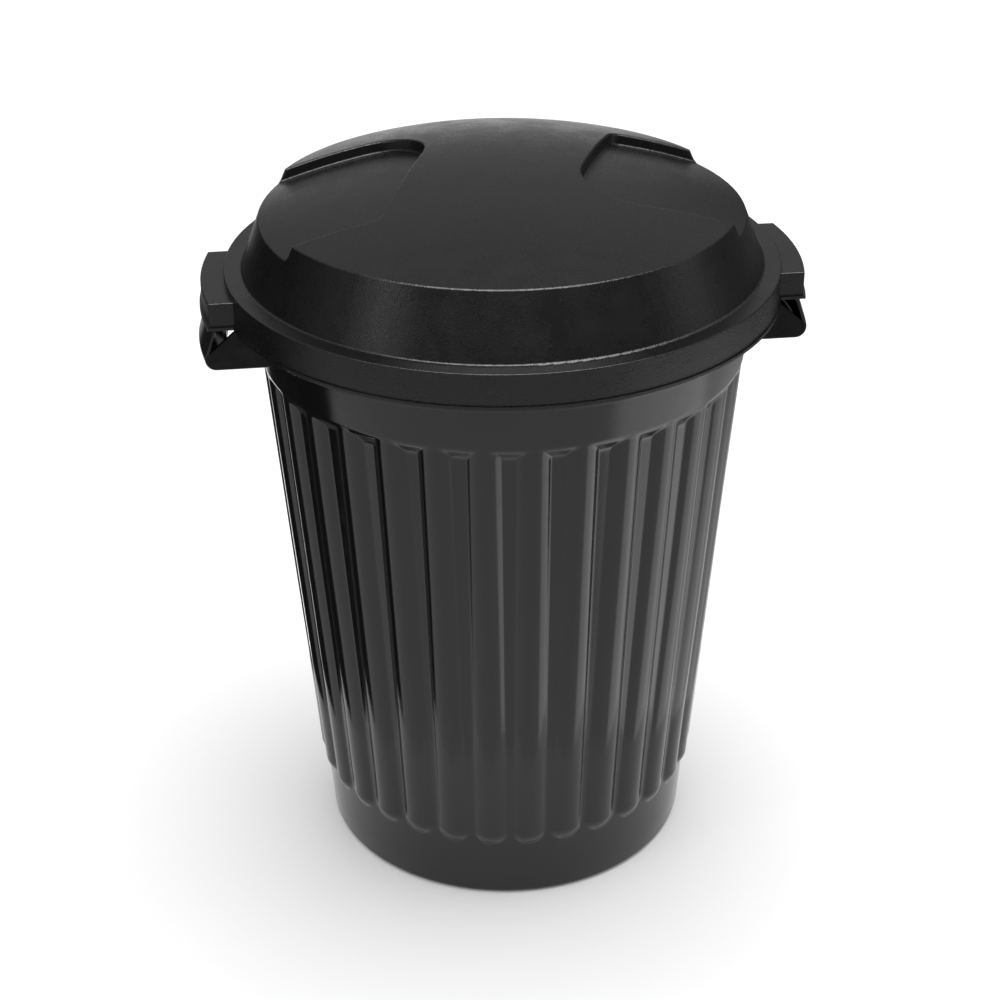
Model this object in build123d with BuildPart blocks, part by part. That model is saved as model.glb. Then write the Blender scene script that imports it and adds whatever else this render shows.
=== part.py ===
from build123d import *
import os
from math import atan2, cos, degrees, radians, sin, sqrt, tan

# A round ribbed trash can of about 55 litres with a lift-off lid. All sizes are millimetres.
# The can stands on z = 0 and its centre line is Z. The handles and the lid's caps are on the
# X axis, and the front is towards -Y. Both pieces are single injection mouldings.

# Side and floor of the can
can_height = 534.8  # top of the rim
side_radius = 165.0  # of the ribs' outer line where it would meet the floor
side_slope = 4.57  # degrees that the side leans outwards
can_wall = 2.8
foot_rounding = 6.0
foot_width = 14.0  # ring that the can stands on
foot_recess = 3.0  # hollow under the floor, inside that ring
floor_thickness = 3.0
floor_rounding = 8.0  # inside, where the floor meets the side

# Ribs up the side, and the plain neck above them
rib_count = 32
rib_height = 6.0  # at the ledges
rib_foot_height = 4.3  # where the ribs' line would meet the floor
rib_width = 26.3
rib_bottom = 59.5  # lowest point of a rib's round end
neck_height = 75.3  # from the ledges that end the grooves up to the rim
neck_step = 0.3  # the neck stands this far proud of the ribs
ledge_height = 9.5

# Rim, turned outwards and down
rim_overhang = 16.3  # from the neck's outside
rim_depth = 30.7
rim_rounding = 2.4

# Handles, measured outwards from the rim's outside, down from its top and up from their foot
collar_out = 19.4  # upright upper part, inside the lid's cap
handle_out = 28.2
handle_depth = 63.3
flare_height = 11.0  # the wall has flared to its full width here
handle_rounding = 9.0
handle_half_width = 51.3
grip_out = 5.7  # inner edge of the ledge that the fingers hold
grip_lip = 12.0  # height of that ledge's upturned edge
handle_edge_rounding = 1.2
gusset_rise = 1.5  # a gusset's sloping edge meets the wall this far above the flare
gusset_gap = 1.1  # under the lid's skirt

# Lid
lid_wall = 2.6
seat_gap = 0.3  # between the rim and the lid's flange
skirt_gap = 1.8  # round the rim
skirt_depth = 28.6
lip_out = 1.3  # bead along the skirt's lower edge
lip_height = 2.4
shoulder_out = 6.3  # from the neck's outside to the foot of the raised wall
crest_inset = 20.2  # the raised wall leans in by this much
crest_height = 51.8  # above the flange
dome_rise = 36.0  # above the crest
crest_rounding = 1.8  # and round the grip pockets
shoulder_rounding = 2.0
flange_rounding = 0.9

# Grip pockets, one each side of the lid's slanted bridge
pocket_half_width = 86.0
pocket_depth = 10.0
pocket_far_corner = 104.0  # X of each pocket's inner corner where the bridge is furthest away
pocket_near_corner = 39.0  # X of the other inner corner, before it is rounded
pocket_far_rounding = 12.0
pocket_near_rounding = 45.0

# Caps of the lid that press over the handles
cap_drop = 5.8  # below the flange
cap_gap = 1.5  # round the handle's collar
cap_headroom = 1.8  # above the handle's collar
cap_lip_out = 2.0
cap_rounding = 1.0

# Places worked out from those sizes
slope = tan(radians(side_slope))


floor_top = foot_recess + floor_thickness
ledge_top = can_height - neck_height
groove_top = ledge_top - ledge_height


def rib_rise(z):
    """How far the ribs stand out of the grooves, which grow deeper upwards."""
    return rib_foot_height + (rib_height - rib_foot_height) * z / groove_top


def rib_radius(z):
    """Outside of the can along the middle of a rib."""
    return side_radius + slope * z


def groove_radius(z):
    """Outside of the can in the grooves between the ribs, and below them."""
    return rib_radius(z) - rib_rise(z)


def neck_radius(z):
    """Outside of the plain neck, just proud of the ribs."""
    return rib_radius(z) + neck_step


rim_under = can_height - can_wall
rim_bottom = can_height - rim_depth
rim_radius = neck_radius(can_height) + rim_overhang

flange_top = can_height + seat_gap + lid_wall
flange_under = flange_top - lid_wall
skirt_inside = rim_radius + skirt_gap
skirt_radius = skirt_inside + lid_wall
skirt_bottom = flange_top - skirt_depth
crest_z = flange_top + crest_height
shoulder_radius = neck_radius(can_height) + shoulder_out
crest_radius = shoulder_radius - crest_inset
dome_radius = (crest_radius**2 + dome_rise**2) / (2 * dome_rise)
dome_centre = crest_z + dome_rise - dome_radius

collar_radius = rim_radius + collar_out
handle_radius = rim_radius + handle_out
grip_radius = rim_radius + grip_out
handle_bottom = can_height - handle_depth
flare_end = handle_bottom + flare_height
cap_top = flange_top - cap_drop
cap_radius = collar_radius + cap_gap + lid_wall
cap_half_width = handle_half_width + cap_gap + lid_wall
handle_top = cap_top - lid_wall - cap_headroom

around = 4 * handle_radius  # wider than the whole can
tall = 4 * can_height  # reaches past both ends of the can


def round_corner(section, r, z, radius):
    """Rounds the corner of a half section that lies nearest to radius r and height z."""
    fillet(section.vertices().sort_by_distance((r, z, 0))[0], radius)


def distance_from_z(edge):
    """How far the middle of an edge lies from the can's centre line."""
    middle = edge @ 0.5
    return sqrt(middle.X**2 + middle.Y**2)


def rib_form(wall):
    """A tapered round bar with a ball end, sunk in the side so that a rib stands out of it."""
    lean = radians(side_slope)
    foot_z = rib_bottom + rib_width / 2
    top_z = ledge_top + can_wall
    foot_radius, top_radius = [
        rib_width**2 / (8 * rib_rise(z)) + rib_rise(z) / 2 for z in (foot_z, top_z)
    ]
    length = (top_z - foot_z) / cos(lean)
    taper = atan2(foot_radius - top_radius, length)
    centre = Vector(
        rib_radius(foot_z) - foot_radius * cos(lean), 0, foot_z + foot_radius * sin(lean)
    )
    side_view = Plane(origin=centre, x_dir=(cos(lean), 0, -sin(lean)), z_dir=(0, -1, 0))
    with BuildPart() as bar:
        with BuildSketch(side_view):
            with BuildLine():
                ball = CenterArc((0, 0), foot_radius - wall, 0, -90 - degrees(taper))
                Polyline(
                    ball @ 0,
                    (foot_radius - wall, length),
                    (foot_radius - top_radius, length),
                    ball @ 1,
                )
            make_face()
        revolve(axis=Axis(centre, (sin(lean + taper), 0, cos(lean + taper))))
    return bar.part


# Handles: a wall with a ledge turned in at its foot, and a gusset at each end to the neck and rim
with BuildPart() as handles:
    with BuildSketch(Plane.XZ) as wall_section:
        with BuildLine():
            Polyline(
                (collar_radius, handle_top),
                (collar_radius, skirt_bottom - seat_gap),
                (handle_radius, flare_end),
                (handle_radius, handle_bottom),
                (grip_radius, handle_bottom),
                (grip_radius, handle_bottom + grip_lip),
                (grip_radius + can_wall, handle_bottom + grip_lip),
                (grip_radius + can_wall, handle_bottom + can_wall),
                (handle_radius - can_wall, handle_bottom + can_wall),
                (handle_radius - can_wall, flare_end),
                (collar_radius - can_wall, skirt_bottom - seat_gap),
                (collar_radius - can_wall, handle_top),
                close=True,
            )
        make_face()
        round_corner(wall_section, handle_radius, handle_bottom, handle_rounding)
        round_corner(
            wall_section,
            handle_radius - can_wall,
            handle_bottom + can_wall,
            handle_rounding - can_wall,
        )
        round_corner(wall_section, grip_radius, handle_bottom, handle_edge_rounding)
    revolve(axis=Axis.Z)
    Box(around, 2 * handle_half_width, tall, mode=Mode.INTERSECT)

with BuildPart() as gussets:
    with BuildSketch(Plane.XZ) as gusset_section:
        with BuildLine():
            Polyline(
                (neck_radius(handle_bottom) - can_wall / 2, handle_bottom),
                (handle_radius, handle_bottom),
                (handle_radius, flare_end),
                (handle_radius - can_wall / 2, flare_end + gusset_rise),
                (rim_radius, skirt_bottom - gusset_gap),
                (rim_radius - can_wall / 2, skirt_bottom - gusset_gap),
                (rim_radius - can_wall / 2, rim_under + can_wall / 2),
                (neck_radius(rim_under) - can_wall / 2, rim_under + can_wall / 2),
                close=True,
            )
        make_face()
        round_corner(gusset_section, handle_radius, handle_bottom, handle_rounding)
    revolve(axis=Axis.Z)
    Box(around, 2 * handle_half_width, tall, mode=Mode.INTERSECT)
    Box(around, 2 * (handle_half_width - can_wall), tall, mode=Mode.SUBTRACT)

with handles:
    add(gussets.part)
    end_faces = handles.faces().filter_by(Axis.Y)
    outer_faces = end_faces.group_by(Axis.Y)[0] + end_faces.group_by(Axis.Y)[-1]
    outer_edges = outer_faces.edges().filter_by(
        lambda edge: distance_from_z(edge) > collar_radius - can_wall / 2
    )
    fillet(outer_edges, handle_edge_rounding)

# Can: a cone with a foot ring, ribs, a stepped neck and a turned rim, hollowed to an even wall
rib_outside = rib_form(0)
rib_inside = rib_form(can_wall)
ledge_shift = can_wall * tan(atan2(rib_height + neck_step, ledge_height) / 2)

with BuildPart() as can:
    with BuildSketch(Plane.XZ) as outside:
        with BuildLine():
            Polyline(
                (0, foot_recess),
                (groove_radius(0) - foot_width, foot_recess),
                (groove_radius(0) - foot_width, 0),
                (groove_radius(0), 0),
                (groove_radius(groove_top), groove_top),
                (neck_radius(ledge_top), ledge_top),
                (neck_radius(rim_under), rim_under),
                (rim_radius - can_wall, rim_under),
                (rim_radius - can_wall, rim_bottom),
                (rim_radius, rim_bottom),
                (rim_radius, can_height),
                (0, can_height),
                close=True,
            )
        make_face()
        round_corner(outside, groove_radius(0), 0, foot_rounding)
        round_corner(outside, rim_radius, can_height, rim_rounding)
    revolve(axis=Axis.Z)
    with PolarLocations(0, rib_count):
        add(rib_outside)
    with BuildSketch(Plane.XZ) as inside:
        with BuildLine():
            Polyline(
                (0, floor_top),
                (groove_radius(floor_top) - can_wall, floor_top),
                (groove_radius(groove_top + ledge_shift) - can_wall, groove_top + ledge_shift),
                (neck_radius(ledge_top + ledge_shift) - can_wall, ledge_top + ledge_shift),
                (neck_radius(can_height) - can_wall, can_height),
                (neck_radius(can_height) - can_wall, can_height + can_wall),
                (0, can_height + can_wall),
                close=True,
            )
        make_face()
        round_corner(inside, groove_radius(floor_top) - can_wall, floor_top, floor_rounding)
    revolve(axis=Axis.Z, mode=Mode.SUBTRACT)
    with PolarLocations(0, rib_count):
        add(rib_inside, mode=Mode.SUBTRACT)
    add(handles.part)


def pocket_plan(margin):
    """Outline of the grip pocket at +X, open past the lid's edge, widened all round by a margin."""
    with BuildSketch() as plan:
        with BuildLine():
            Polyline(
                (around, pocket_half_width),
                (pocket_far_corner, pocket_half_width),
                (pocket_near_corner, -pocket_half_width),
                (around, -pocket_half_width),
                close=True,
            )
        make_face()
        corners = plan.vertices().sort_by(Axis.X)
        fillet(corners[0], pocket_near_rounding)
        far_corner = plan.vertices().sort_by_distance((pocket_far_corner, pocket_half_width, 0))[0]
        fillet(far_corner, pocket_far_rounding)
        if margin:
            offset(amount=margin)
    return plan.sketch


def pocket_form(margin, depth):
    """Both grip pockets as solids that reach down to the dome lowered by a depth."""
    with BuildPart() as form:
        with BuildSketch(Plane.XY.offset(flange_top)):
            with PolarLocations(0, 2):
                add(pocket_plan(margin))
        extrude(amount=2 * (crest_height + dome_rise))
        with Locations((0, 0, dome_centre - depth)):
            Sphere(dome_radius, mode=Mode.SUBTRACT)
    return form.part


def raised_section(inset):
    """Half section of the lid's raised middle, inset by a wall."""
    flare = crest_inset / crest_height
    side = shoulder_radius - inset * sqrt(1 + flare**2)
    top = crest_height + dome_rise
    with BuildSketch() as section:
        with BuildLine():
            Polyline(
                (0, flange_under - lid_wall),
                (side, flange_under - lid_wall),
                (side, flange_top),
                (side - flare * top, flange_top + top),
                (0, flange_top + top),
                close=True,
            )
        make_face()
        with Locations((0, dome_centre)):
            Circle(dome_radius - inset, mode=Mode.INTERSECT)
    return section.sketch


# Caps: boxes with curved outer walls, open below
def cap_ring(inner, outer, bottom, top, half_width):
    """The two stretches of a ring round Z that lie within a half width of the X axis."""
    with BuildPart() as ring:
        with BuildSketch(Plane.XY.offset(bottom)):
            Circle(outer)
            Circle(inner, mode=Mode.SUBTRACT)
            Rectangle(around, 2 * half_width, mode=Mode.INTERSECT)
        extrude(amount=top - bottom)
    return ring.part


with BuildPart() as caps:
    add(cap_ring(skirt_inside, cap_radius, skirt_bottom, cap_top, cap_half_width))
    cap_edges = caps.faces().filter_by(Axis.Z).group_by(Axis.Z)[-1].edges()
    fillet(cap_edges + caps.edges().filter_by(Axis.Z), cap_rounding)

with BuildPart() as lid:
    with BuildSketch(Plane.XZ) as flange:
        with BuildLine():
            Polyline(
                (0, skirt_bottom),
                (skirt_radius + lip_out, skirt_bottom),
                (skirt_radius + lip_out, skirt_bottom + lip_height),
                (skirt_radius, skirt_bottom + lip_height),
                (skirt_radius, flange_top),
                (0, flange_top),
                close=True,
            )
        make_face()
        add(raised_section(0))
        round_corner(flange, shoulder_radius, flange_top, shoulder_rounding)
        round_corner(flange, skirt_radius, flange_top, flange_rounding)
    revolve(axis=Axis.Z)
    add(pocket_form(0, pocket_depth), mode=Mode.SUBTRACT)
    crest_edges = lid.edges().filter_by_position(Axis.Z, crest_z - seat_gap, crest_z + seat_gap)
    fillet(crest_edges + lid.edges(Select.LAST), crest_rounding)
    add(caps.part)
    add(
        cap_ring(
            skirt_inside,
            cap_radius + cap_lip_out,
            skirt_bottom,
            skirt_bottom + lip_height,
            cap_half_width + cap_lip_out,
        )
    )

with BuildPart() as lid_hollow:
    with BuildSketch(Plane.XZ):
        with BuildLine():
            Polyline(
                (0, skirt_bottom - lid_wall),
                (skirt_inside, skirt_bottom - lid_wall),
                (skirt_inside, flange_under),
                (0, flange_under),
                close=True,
            )
        make_face()
        add(raised_section(lid_wall))
    revolve(axis=Axis.Z)
    add(pocket_form(lid_wall, pocket_depth + lid_wall), mode=Mode.SUBTRACT)

cap_hollow = cap_ring(
    skirt_radius,
    cap_radius - lid_wall,
    skirt_bottom - lid_wall,
    cap_top - lid_wall,
    cap_half_width - lid_wall,
)

with lid:
    add(lid_hollow.part, mode=Mode.SUBTRACT)
    add(cap_hollow, mode=Mode.SUBTRACT)

can.part.label = "can"
lid.part.label = "lid"

os.makedirs("parts", exist_ok=True)
export_step(can.part, "parts/can.step")
export_step(lid.part, "parts/lid.step")
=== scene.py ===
from math import asin, atan2, ceil, cos, pi, radians, sin, sqrt, tan

import bmesh
import bpy
import numpy as np
from mathutils import Matrix, Vector


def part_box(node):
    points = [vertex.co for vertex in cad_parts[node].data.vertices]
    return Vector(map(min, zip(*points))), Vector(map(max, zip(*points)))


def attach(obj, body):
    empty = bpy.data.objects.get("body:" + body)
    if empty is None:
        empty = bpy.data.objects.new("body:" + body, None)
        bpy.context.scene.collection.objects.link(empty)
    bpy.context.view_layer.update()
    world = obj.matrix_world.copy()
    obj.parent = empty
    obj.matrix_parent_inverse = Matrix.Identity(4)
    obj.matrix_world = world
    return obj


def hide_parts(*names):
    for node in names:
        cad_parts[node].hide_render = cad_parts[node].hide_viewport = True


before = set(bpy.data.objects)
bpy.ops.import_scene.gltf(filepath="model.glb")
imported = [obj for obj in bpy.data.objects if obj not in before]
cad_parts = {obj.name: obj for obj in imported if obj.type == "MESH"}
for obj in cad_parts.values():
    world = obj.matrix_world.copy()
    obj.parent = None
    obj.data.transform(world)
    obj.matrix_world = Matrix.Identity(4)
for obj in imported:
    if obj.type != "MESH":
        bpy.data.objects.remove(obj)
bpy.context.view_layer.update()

# The trash can's looks. Shape sizes are millimetres, as on the part's drawing, and turn to metres
# where a mesh is made. The can stands on z = 0 round the Z axis, its front towards -Y.
MM = 0.001

# Side, ribs and neck of the can
can_height = 534.8
side_radius = 165.0
slope = tan(radians(4.57))
can_wall = 2.8
rib_count = 32
rib_height = 6.0
rib_foot_height = 4.3
rib_width = 26.3
rib_bottom = 59.5
ledge_top = 459.5
ledge_height = 9.5
neck_step = 0.3
rib_blend = 1.3  # softness of the inner corner along a rib's edge
ledge_blend = 2.0

# Foot and floor
foot_rounding = 6.0
foot_width = 14.0
foot_recess = 3.0
foot_top = 30.0
recess_rounding = 1.0
floor_thickness = 3.0
floor_rounding = 8.0
flat_middle = 60.0  # radius inside which the floor and the recess are left as one flat disc

# Rim
rim_overhang = 16.3
rim_depth = 30.7
rim_rounding = 2.4
rim_inner_rounding = 1.2
mouth_rounding = 1.4
edge_rounding = 0.9

# Handles
handle_half_width = 51.3

# Unevenness of the thin wall, which fades out towards the ledge and the foot
broad_wave = 0.16
twisted_wave = 0.10
fine_wave = 0.05
wave_top = ledge_top - 25.0
wave_top_fade = 120.0
wave_bottom = 40.0
wave_bottom_fade = 60.0

groove_top = ledge_top - ledge_height
floor_top = foot_recess + floor_thickness


def linear(hex_colour):
    """An sRGB hex colour as linear values with an alpha of one."""
    parts = [int(hex_colour[i : i + 2], 16) / 255 for i in (1, 3, 5)]
    return [p / 12.92 if p <= 0.04045 else ((p + 0.055) / 1.055) ** 2.4 for p in parts] + [1.0]


def add_node(tree, kind, links=None, **settings):
    """Adds a node. A setting is one of its options or an input, and links join inputs to outputs."""
    node = tree.nodes.new(kind)
    inputs = {socket.identifier.replace(" ", "_"): socket for socket in node.inputs}
    for name, value in settings.items():
        if name in inputs:
            inputs[name].default_value = value
        else:
            setattr(node, name, value)
    for name, output in (links or {}).items():
        tree.links.new(output, inputs[name.replace(" ", "_")])
    return node


# Shape of the can's wall
def rib_rise(z):
    """How far the ribs stand out of the grooves at a height."""
    return rib_foot_height + (rib_height - rib_foot_height) * z / groove_top


def rib_line(z):
    """Outside of the can along the middle of a rib."""
    return side_radius + slope * z


def smooth_max(a, b, blend):
    """The larger of two radii, with a soft inner corner where they meet."""
    near = np.maximum(blend - np.abs(a - b), 0) / blend
    return np.maximum(a, b) + near**2 * blend / 4


def rib_face(angle, z, wall):
    """Radius of a rib's round bar, which ends in a ball at its foot, inset by a wall."""
    ball_z = rib_bottom + rib_width / 2
    at = np.maximum(z, ball_z)
    rise = rib_rise(at)
    bar = rib_width**2 / (8 * rise) + rise / 2
    centre = rib_line(at) - bar
    reach = (bar - wall) ** 2 - (at - z) ** 2 - (centre * np.sin(angle)) ** 2
    faded = np.maximum(z - ledge_top + 2 * wall, 0)
    return centre * np.cos(angle) + np.sqrt(np.maximum(reach, 0)) - faded


def plain_side(z, wall):
    """Radius of the wall between the ribs: the groove, the ledge that ends it and the neck."""
    shift = wall * tan(atan2(rib_height + neck_step, ledge_height) / 2)
    groove = rib_line(z) - rib_rise(z) - wall
    neck = rib_line(z) + neck_step - wall
    foot = rib_line(groove_top) - rib_height - wall
    ledge_out = rib_height + neck_step + slope * ledge_height
    ledge = foot + (z - groove_top - shift) * ledge_out / ledge_height
    return smooth_max(groove, -smooth_max(-neck, -ledge, ledge_blend), ledge_blend)


def side_wave(angle, z):
    """The slight unevenness of a thin moulded wall: broad lobes, lobes that twist, fine ripples."""
    from_top = np.clip((wave_top - z) / wave_top_fade, 0, 1)
    from_bottom = np.clip((z - wave_bottom) / wave_bottom_fade, 0, 1)
    lobes = broad_wave * np.sin(3 * angle + 0.7) * np.sin(z / 71)
    twist = twisted_wave * np.sin(7 * angle + z / 53)
    ripple = fine_wave * np.sin(17 * angle - z / 31)
    return from_top * from_bottom * (lobes + twist + ripple)


def rounded(corners, steps=5):
    """A run of (r, z) points, where a corner given with a radius becomes an arc."""
    run = []
    for i, corner in enumerate(corners):
        here = Vector(corner[:2])
        if len(corner) == 2:
            run.append(tuple(here))
            continue
        before = (Vector(corners[i - 1][:2]) - here).normalized()
        after = (Vector(corners[i + 1][:2]) - here).normalized()
        half = before.angle(after) / 2
        centre = here + (before + after).normalized() * corner[2] / sin(half)
        start = here + before * corner[2] / tan(half) - centre
        turn = (pi - 2 * half) * (1 if start.cross(here - centre) > 0 else -1)
        for k in range(steps + 1):
            run.append(tuple(centre + Matrix.Rotation(turn * k / steps, 2) @ start))
    return run


# Angles of the wall's columns, as shares of a rib's half width: close together at its two edges
rib_columns = (0, 0.2, 0.38, 0.55, 0.7, 0.82, 0.9, 0.96, 1.0, 1.04, 1.09, 1.15, 1.22)
rib_columns = np.array([-share for share in rib_columns[:0:-1]] + list(rib_columns))
pitch = 2 * pi / rib_count


def column_angles(z):
    """Angles of one row's columns all round the can."""
    edge = asin(rib_width / 2 / rib_line(min(max(z, rib_bottom), ledge_top)))
    across = rib_columns * edge
    groove = pitch - 2 * across[-1]
    one = np.concatenate([across, across[-1] + groove * np.array((1, 2)) / 3])
    return np.concatenate([one + k * pitch for k in range(rib_count)])


def rows_between(*stretches):
    """Heights of rows, from stretches of (first, last, step)."""
    return np.concatenate(
        [np.linspace(a, b, ceil(abs(b - a) / step), endpoint=False) for a, b, step in stretches]
    )


def make_mesh(name, points, faces, smooth=True):
    """A mesh object at the origin, from points in millimetres."""
    mesh = bpy.data.meshes.new(name)
    mesh.from_pydata((np.asarray(points) * MM).tolist(), [], faces)
    mesh.polygons.foreach_set("use_smooth", [smooth] * len(mesh.polygons))
    mesh.validate()
    piece = bpy.data.objects.new(name, mesh)
    bpy.context.scene.collection.objects.link(piece)
    return piece


def wall_of_rows(name, rows):
    """A closed skin from rows of (radii, height, angles), with a centre point at each end."""
    points = []
    for radii, z, angles in rows:
        ring = np.empty((len(angles), 3))
        ring[:, 0] = radii * np.cos(angles)
        ring[:, 1] = radii * np.sin(angles)
        ring[:, 2] = z
        points.append(ring)
    count = len(rows[0][2])
    points.append(np.array([[0, 0, rows[0][1]], [0, 0, rows[-1][1]]]))
    points = np.concatenate(points)
    here = np.arange(count)
    following = (here + 1) % count
    faces = []
    for row in range(len(rows) - 1):
        low, high = row * count, (row + 1) * count
        faces += np.stack([low + here, low + following, high + following, high + here], 1).tolist()
    first, last = len(points) - 2, len(points) - 1
    end = (len(rows) - 1) * count
    faces += [[first, int(b), int(a)] for a, b in zip(here, following)]
    faces += [[last, int(end + a), int(end + b)] for a, b in zip(here, following)]
    return make_mesh(name, points, faces)


# The can's wall, floor, foot and rim in one skin. Its rows are close together at the ribs' round
# feet and at the ledge, where the shape turns, and far apart in the middle of the wall.
groove_foot = side_radius - rib_foot_height
neck_rim = rib_line(can_height) + neck_step
rim_radius = neck_rim + rim_overhang
rim_under = can_height - can_wall
side_start, side_end = 40.0, 528.0
feet_low, feet_high = 56.0, 84.0
middle_low, middle_high = 100.0, 440.0
ledge_low, ledge_high = 448.0, 466.0
outside_rows = rows_between(
    (side_start, feet_low, 5),
    (feet_low, feet_high, 1),
    (feet_high, middle_low, 4),
    (middle_low, middle_high, 14),
    (middle_high, ledge_low, 2),
    (ledge_low, ledge_high, 0.75),
    (ledge_high, side_end, 12),
)
inner_side_start = 20.0
inner_feet_low, inner_feet_high = 58.0, 90.0
inner_ledge_low, inner_ledge_high = 445.0, 470.0
inside_rows = rows_between(
    (side_end, inner_ledge_high, 14),
    (inner_ledge_high, inner_ledge_low, 1),
    (inner_ledge_low, inner_feet_high, 22),
    (inner_feet_high, inner_feet_low, 2),
    (inner_feet_low, inner_side_start, 10),
)


def plain_rows(outline):
    """Rows that are round, from the points of an outline."""
    return [(r, z, column_angles(z)) for r, z in outline]


def ribbed_rows(heights, wall):
    """Rows of the ribbed side, outside or inset by the wall."""
    rows = []
    for z in heights:
        angles = column_angles(z)
        about = (angles + pitch / 2) % pitch - pitch / 2
        radii = smooth_max(plain_side(z, wall), rib_face(about, z, wall), rib_blend)
        rows.append((radii + side_wave(angles, z), z, angles))
    return rows


foot_outline = rounded(
    [
        (flat_middle, foot_recess),
        (groove_foot - foot_width, foot_recess, recess_rounding),
        (groove_foot - foot_width, 0, edge_rounding),
        (groove_foot, 0, foot_rounding),
        (plain_side(foot_top, 0), foot_top),
    ],
    steps=7,
)
rim_outline = rounded(
    [
        (plain_side(side_end, 0), side_end),
        (rib_line(rim_under) + neck_step, rim_under, rim_inner_rounding),
        (rim_radius - can_wall, rim_under, rim_inner_rounding),
        (rim_radius - can_wall, can_height - rim_depth, edge_rounding),
        (rim_radius, can_height - rim_depth, edge_rounding),
        (rim_radius, can_height, rim_rounding),
        (neck_rim - can_wall, can_height, mouth_rounding),
        (plain_side(side_end + 1, can_wall), side_end + 1),
    ]
)
floor_outline = rounded(
    [
        (plain_side(inner_side_start - 1, can_wall), inner_side_start - 1),
        (plain_side(floor_top, can_wall), floor_top, floor_rounding),
        (flat_middle, floor_top),
    ],
    steps=7,
)
can_wall_skin = wall_of_rows(
    "can_wall_and_ribs",
    plain_rows(foot_outline)
    + ribbed_rows(outside_rows, 0)
    + plain_rows(rim_outline)
    + ribbed_rows(inside_rows, can_wall)
    + plain_rows(floor_outline),
)


# Both handles, with their ledges, gussets and rounded edges, cut out of the can's solid. A face
# is theirs when it stands out of the plain wall or rim by more than these.
past_neck = 0.15
past_rim = 0.1
below_rim = 0.2
past_width = 1.0
sideways = 0.9


def is_handle(face):
    """True for a face that stands out of the neck or the rim at a handle."""
    x, y, z = face.calc_center_median() / MM
    out = sqrt(x * x + y * y)
    if abs(y) > handle_half_width + past_width or out < rib_line(z) + neck_step + past_neck:
        return False
    if z < can_height - rim_depth - below_rim:
        return True
    if out > rim_radius + past_rim:
        return True
    return abs(face.normal.y) > sideways and z < rim_under


handle_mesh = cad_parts["can"].data.copy()
handle_shape = bmesh.new()
handle_shape.from_mesh(handle_mesh)
rest = [face for face in handle_shape.faces if not is_handle(face)]
bmesh.ops.delete(handle_shape, geom=rest, context="FACES")
handle_shape.to_mesh(handle_mesh)
handle_shape.free()
handle_mesh.name = "handles"
handles = bpy.data.objects.new("handles", handle_mesh)
bpy.context.scene.collection.objects.link(handles)


def disc_of_rings(name, centre, rings, count=40):
    """A round relief from rings of (radius, height), closed at the middle."""
    x, y, z = centre
    turns = [2 * pi * k / count for k in range(count)]
    points = [(x + r * cos(t), y + r * sin(t), z + rise) for r, rise in rings for t in turns]
    points.append((x, y, z + rings[-1][1]))
    faces = []
    for ring in range(len(rings) - 1):
        for k in range(count):
            a, b = ring * count + k, ring * count + (k + 1) % count
            faces.append([a, b, b + count, a + count])
    base = (len(rings) - 1) * count
    faces += [[base + k, base + (k + 1) % count, len(points) - 1] for k in range(count)]
    faces.append(list(range(count))[::-1])
    return make_mesh(name, points, faces)


# Small mark that the moulding gate leaves on the lid's dome: a low ring and pip round a dish,
# in (radius, height) from its edge to its middle
gate_rings = (
    (5.2, -0.6),
    (5.0, -0.12),
    (4.6, -0.02),
    (4.1, -0.05),
    (3.6, -0.3),
    (2.2, -0.34),
    (1.7, -0.1),
    (1.2, -0.02),
    (0.7, -0.02),
)
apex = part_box("lid")[1].z / MM
gate_mark = disc_of_rings("gate_mark", (0, 0, apex), gate_rings)

# Materials
TILE = 1 / MM  # a texture scale of TILE repeats about once a millimetre
flow_mm = 60
rubbed_mm = 24
scratch_width_mm = 0.9
scratch_length_mm = 34
scratched_area_mm = 90
scratch_dulling = 0.16
peel_mm = 9
peel_depth_mm = 0.05
polypropylene_ior = 1.49


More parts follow.
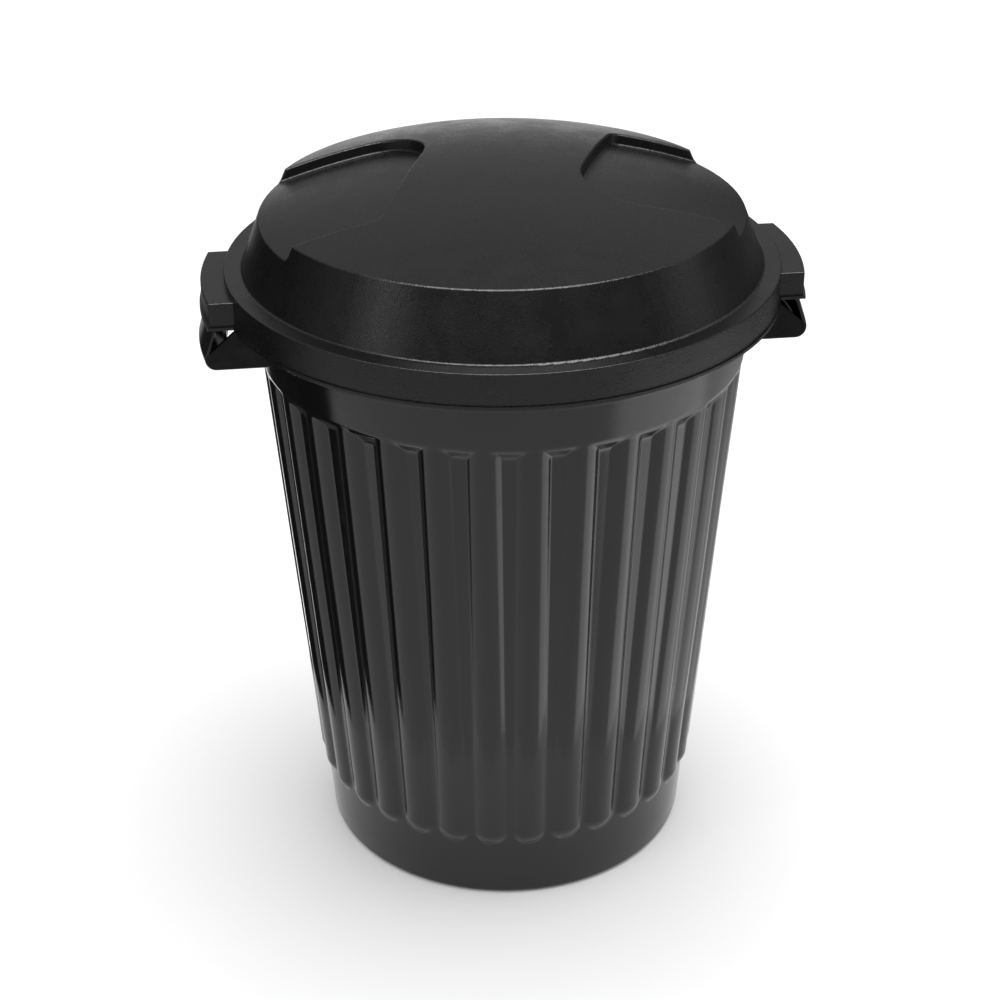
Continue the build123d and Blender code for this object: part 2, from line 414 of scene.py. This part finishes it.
def moulded_plastic(name, dark, light, gloss_low, gloss_high, grain_mm, grain_depth_mm, grain_sharp):
    """Black injection-moulded polypropylene, with flow tone, grain and handling marks."""
    material = bpy.data.materials.new(name)
    material.use_nodes = True
    tree = material.node_tree
    tree.nodes.clear()
    place = add_node(tree, "ShaderNodeTexCoord").outputs["Object"]
    # Broad clouds of tone, where the melt met the mould at different heats
    flow = add_node(
        tree, "ShaderNodeTexNoise", {"Vector": place},
        Scale=TILE / flow_mm, Detail=3.0, Roughness=0.55,
    )
    tone = add_node(
        tree, "ShaderNodeMix", {"Factor_Float": flow.outputs["Fac"]},
        data_type="RGBA", A_Color=linear(dark), B_Color=linear(light),
    )
    # Rubbed places a few centimetres across, a little duller than the rest
    rubbed = add_node(
        tree, "ShaderNodeTexNoise", {"Vector": place},
        Scale=TILE / rubbed_mm, Detail=5.0, Roughness=0.65,
    )
    gloss = add_node(
        tree, "ShaderNodeMapRange", {"Value": rubbed.outputs["Fac"]},
        From_Min=0.35, From_Max=0.68, To_Min=gloss_low, To_Max=gloss_high,
    )
    # Fine scratches up and down the wall, drawn wider than real ones so that they show at all
    across, along = TILE / scratch_width_mm, TILE / scratch_length_mm
    lengthways = add_node(tree, "ShaderNodeMapping", {"Vector": place}, Scale=(across, across, along))
    hairs = add_node(
        tree, "ShaderNodeTexNoise", {"Vector": lengthways.outputs["Vector"]},
        Scale=1.0, Detail=2.0,
    )
    scratch = add_node(
        tree, "ShaderNodeMapRange", {"Value": hairs.outputs["Fac"]},
        From_Min=0.70, From_Max=0.78, To_Min=0.0, To_Max=1.0,
    )
    marks = add_node(
        tree, "ShaderNodeTexNoise", {"Vector": place},
        Scale=TILE / scratched_area_mm, Detail=1.0,
    )
    where = add_node(
        tree, "ShaderNodeMapRange", {"Value": marks.outputs["Fac"]},
        From_Min=0.5, From_Max=0.62, To_Min=0.0, To_Max=1.0,
    )
    scratched = add_node(
        tree, "ShaderNodeMath", {"Value": scratch.outputs["Result"], "Value_001": where.outputs["Result"]},
        operation="MULTIPLY",
    )
    roughness = add_node(
        tree, "ShaderNodeMath", {"Value": scratched.outputs["Value"], "Value_002": gloss.outputs["Result"]},
        operation="MULTIPLY_ADD", Value_001=scratch_dulling,
    )
    # Grain of the mould's face
    grain = add_node(
        tree, "ShaderNodeTexVoronoi", {"Vector": place},
        Scale=TILE / grain_mm, feature="F1", Randomness=1.0,
    )
    grit = add_node(
        tree, "ShaderNodeTexNoise", {"Vector": place},
        Scale=TILE / (grain_mm * 0.7), Detail=2.0,
    )
    mixed = add_node(
        tree, "ShaderNodeMix", {"A_Float": grain.outputs["Distance"], "B_Float": grit.outputs["Fac"]},
        data_type="FLOAT", Factor_Float=1 - grain_sharp,
    )
    relief = add_node(
        tree, "ShaderNodeBump", {"Height": mixed.outputs[0]},
        Strength=1.0, Distance=grain_depth_mm * MM,
    )
    # Slight orange peel from the mould's polish
    swell = add_node(tree, "ShaderNodeTexNoise", {"Vector": place}, Scale=TILE / peel_mm, Detail=1.0)
    surface = add_node(
        tree, "ShaderNodeBump", {"Height": swell.outputs["Fac"], "Normal": relief.outputs["Normal"]},
        Strength=1.0, Distance=peel_depth_mm * MM,
    )
    shader = add_node(
        tree, "ShaderNodeBsdfPrincipled",
        {
            "Base Color": tone.outputs[2],
            "Roughness": roughness.outputs["Value"],
            "Normal": surface.outputs["Normal"],
        },
        IOR=polypropylene_ior,
    )
    add_node(tree, "ShaderNodeOutputMaterial", {"Surface": shader.outputs["BSDF"]})
    return material


# Polypropylene from a polished mould: deep black, semi-gloss, so the ribs carry crisp streaks
polished_black = moulded_plastic(
    "polypropylene_black_polished_mould", "#070708", "#0B0B0C", gloss_low=0.10, gloss_high=0.17,
    grain_mm=0.9, grain_depth_mm=0.006, grain_sharp=0.2,
)
# Polypropylene from a spark-eroded mould: a pebble grain that greys and breaks up each light. The
# real grain is finer, and it is drawn 1.5 mm across so that it shows.
grained_black = moulded_plastic(
    "polypropylene_black_spark_grain", "#08080A", "#0D0D0F", gloss_low=0.24, gloss_high=0.34,
    grain_mm=1.5, grain_depth_mm=0.2, grain_sharp=0.5,
)


def dress(piece, material):
    """Gives a piece its one material."""
    piece.data.materials.clear()
    piece.data.materials.append(material)


for piece in (can_wall_skin, handles):
    dress(piece, polished_black)
    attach(piece, "can")
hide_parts("can")
dress(gate_mark, grained_black)
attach(gate_mark, "lid")
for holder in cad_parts["lid"].material_slots:
    holder.material = grained_black

# Floor, pale and plain: only the part close round the can shows in its gloss
paper = bpy.data.materials.new("white_studio_paper")
paper.use_nodes = True
paper_shader = paper.node_tree.nodes["Principled BSDF"]
paper_shader.inputs["Base Color"].default_value = linear("#F0F0F0")
paper_shader.inputs["Roughness"].default_value = 0.9


def floor_ring(name, inner, outer, count=96):
    """A flat ring of the floor round the Z axis, in millimetres."""
    turns = [2 * pi * k / count for k in range(count)]
    points = [(r * cos(t), r * sin(t), 0) for r in (inner, outer) for t in turns]
    faces = [(k, count + k, count + (k + 1) % count, (k + 1) % count) for k in range(count)]
    ring = make_mesh(name, points, faces, smooth=False)
    ring.data.materials.append(paper)
    return ring


near_edge = 330
floor_ring("studio_floor_near", 0.01, near_edge)
floor_far = floor_ring("studio_floor_far", near_edge, 14000)
floor_far.visible_glossy = False

# Surroundings: pale to the eye, and a room with a lit table, a dark side and a ceiling in the gloss
world = bpy.data.worlds.new("studio")
bpy.context.scene.world = world
world.use_nodes = True
sky = world.node_tree
sky.nodes.clear()
toward = add_node(sky, "ShaderNodeTexCoord").outputs["Generated"]
height = add_node(sky, "ShaderNodeSeparateXYZ", {"Vector": toward}).outputs["Z"]
level = add_node(
    sky, "ShaderNodeVectorMath", {"Vector": toward},
    operation="MULTIPLY", Vector_001=(1, 1, 0),
)
level = add_node(sky, "ShaderNodeVectorMath", {"Vector": level.outputs["Vector"]}, operation="NORMALIZE")


def side_of(degrees_left, start, end, low, high):
    """Brightness that changes towards one side of the room, counted leftwards from the front."""
    turn = radians(degrees_left)
    facing = add_node(
        sky, "ShaderNodeVectorMath", {"Vector": level.outputs["Vector"]},
        operation="DOT_PRODUCT", Vector_001=(-sin(turn), -cos(turn), 0),
    )
    return add_node(
        sky, "ShaderNodeMapRange", {"Value": facing.outputs["Value"]}, interpolation_type="SMOOTHSTEP",
        From_Min=cos(radians(start)), From_Max=cos(radians(end)), To_Min=low, To_Max=high,
    ).outputs["Result"]


def rising(start, end, low, high):
    """Brightness that changes with the height of a direction, given by its elevation in degrees."""
    return add_node(
        sky, "ShaderNodeMapRange", {"Value": height}, interpolation_type="SMOOTHSTEP",
        From_Min=sin(radians(start)), From_Max=sin(radians(end)), To_Min=low, To_Max=high,
    ).outputs["Result"]


def combine(operation, a, b):
    """One arithmetic step on two brightnesses."""
    step = add_node(sky, "ShaderNodeMath", {"Value": a, "Value_001": b}, operation=operation)
    return step.outputs["Value"]


# The lit table goes round the can but for a dark side at the back left, and is brightest behind
backlight = side_of(180, 24, 14, low=0.0, high=2.6)
table = combine("ADD", side_of(132, 38, 31, low=0.86, high=0.0), backlight)
table = combine("MULTIPLY", table, rising(-32, -23, low=1.0, high=0.10))
ceiling = rising(4, 42, low=0.02, high=0.5)
# A low window at the right, and a bright strip high over the front
window_height = rising(-24, -34, low=0.0, high=1.0)
window = combine("MULTIPLY", side_of(-78, 34, 22, low=0.0, high=0.9), window_height)
strip = combine("MULTIPLY", rising(42, 52, low=0.0, high=9.0), rising(88, 80, low=0.0, high=1.0))
strip = combine("MULTIPLY", strip, side_of(0, 78, 60, low=0.0, high=1.0))
# A pale band along the floor's far edge, so that the wall isn't black in a low view
backdrop = combine("MULTIPLY", rising(-22, -14, low=0.0, high=0.6), rising(4, -3, low=0.0, high=1.0))
for dark_side in (132, -132):
    backdrop = combine("MULTIPLY", backdrop, side_of(dark_side, 38, 31, low=1.0, high=0.0))
room = combine("ADD", combine("MAXIMUM", table, ceiling), combine("ADD", window, strip))
room = combine("ADD", room, backdrop)
gloss_ray = add_node(sky, "ShaderNodeLightPath").outputs["Is Glossy Ray"]
glow = add_node(
    sky, "ShaderNodeMix", {"Factor_Float": gloss_ray, "B_Float": room},
    data_type="FLOAT", A_Float=1.0,
)
back = add_node(sky, "ShaderNodeBackground", {"Strength": glow.outputs[0]}, Color=linear("#FFFFFF"))
add_node(sky, "ShaderNodeOutputWorld", {"Surface": back.outputs["Background"]})


def softbox(name, place, aim_height, size, power):
    """A large even light aimed at the can's middle line, unseen by the camera itself."""
    light = bpy.data.lights.new(name, "AREA")
    light.shape = "RECTANGLE"
    light.size, light.size_y = size
    light.energy = power
    lamp = bpy.data.objects.new(name, light)
    lamp.location = place
    aim = Vector((0, 0, aim_height))
    lamp.rotation_euler = (aim - Vector(place)).to_track_quat("-Z", "Y").to_euler()
    lamp.visible_camera = False
    bpy.context.scene.collection.objects.link(lamp)
    return lamp


softbox("left_strip", (-2.0, -1.2, 1.3), aim_height=0.4, size=(0.25, 1.4), power=3)
softbox("right_softbox", (2.3, -0.4, 1.5), aim_height=0.4, size=(0.7, 1.4), power=3)
fill = softbox("overhead_fill", (0.3, 0.3, 2.8), aim_height=0.3, size=(2.6, 2.2), power=44)
fill.visible_glossy = False

# Camera: the photograph's view, in a frame that looks along +Y and is turned back to the part's
camera_turn = Matrix.Rotation(radians(-6.7), 3, "Z")
elevation = radians(28.90)
distance = 1.843
target = Vector((-0.0034, 0, 0.3071))
forward = Vector((0, cos(elevation), -sin(elevation)))
right = Vector((1, 0, 0))
up = right.cross(forward)
roll = radians(0.43)
rolled_right = cos(roll) * right - sin(roll) * up
rolled_up = sin(roll) * right + cos(roll) * up
turned = Matrix([camera_turn @ v for v in (rolled_right, rolled_up, -forward)]).transposed()
lens = bpy.data.cameras.new("camera")
lens.sensor_width = 36.0
lens.lens = 75.6
camera = bpy.data.objects.new("camera", lens)
camera.matrix_world = turned.to_4x4()
camera.location = camera_turn @ (target - forward * distance)
bpy.context.scene.collection.objects.link(camera)
bpy.context.scene.camera = camera
bpy.context.scene.view_settings.view_transform = "Standard"
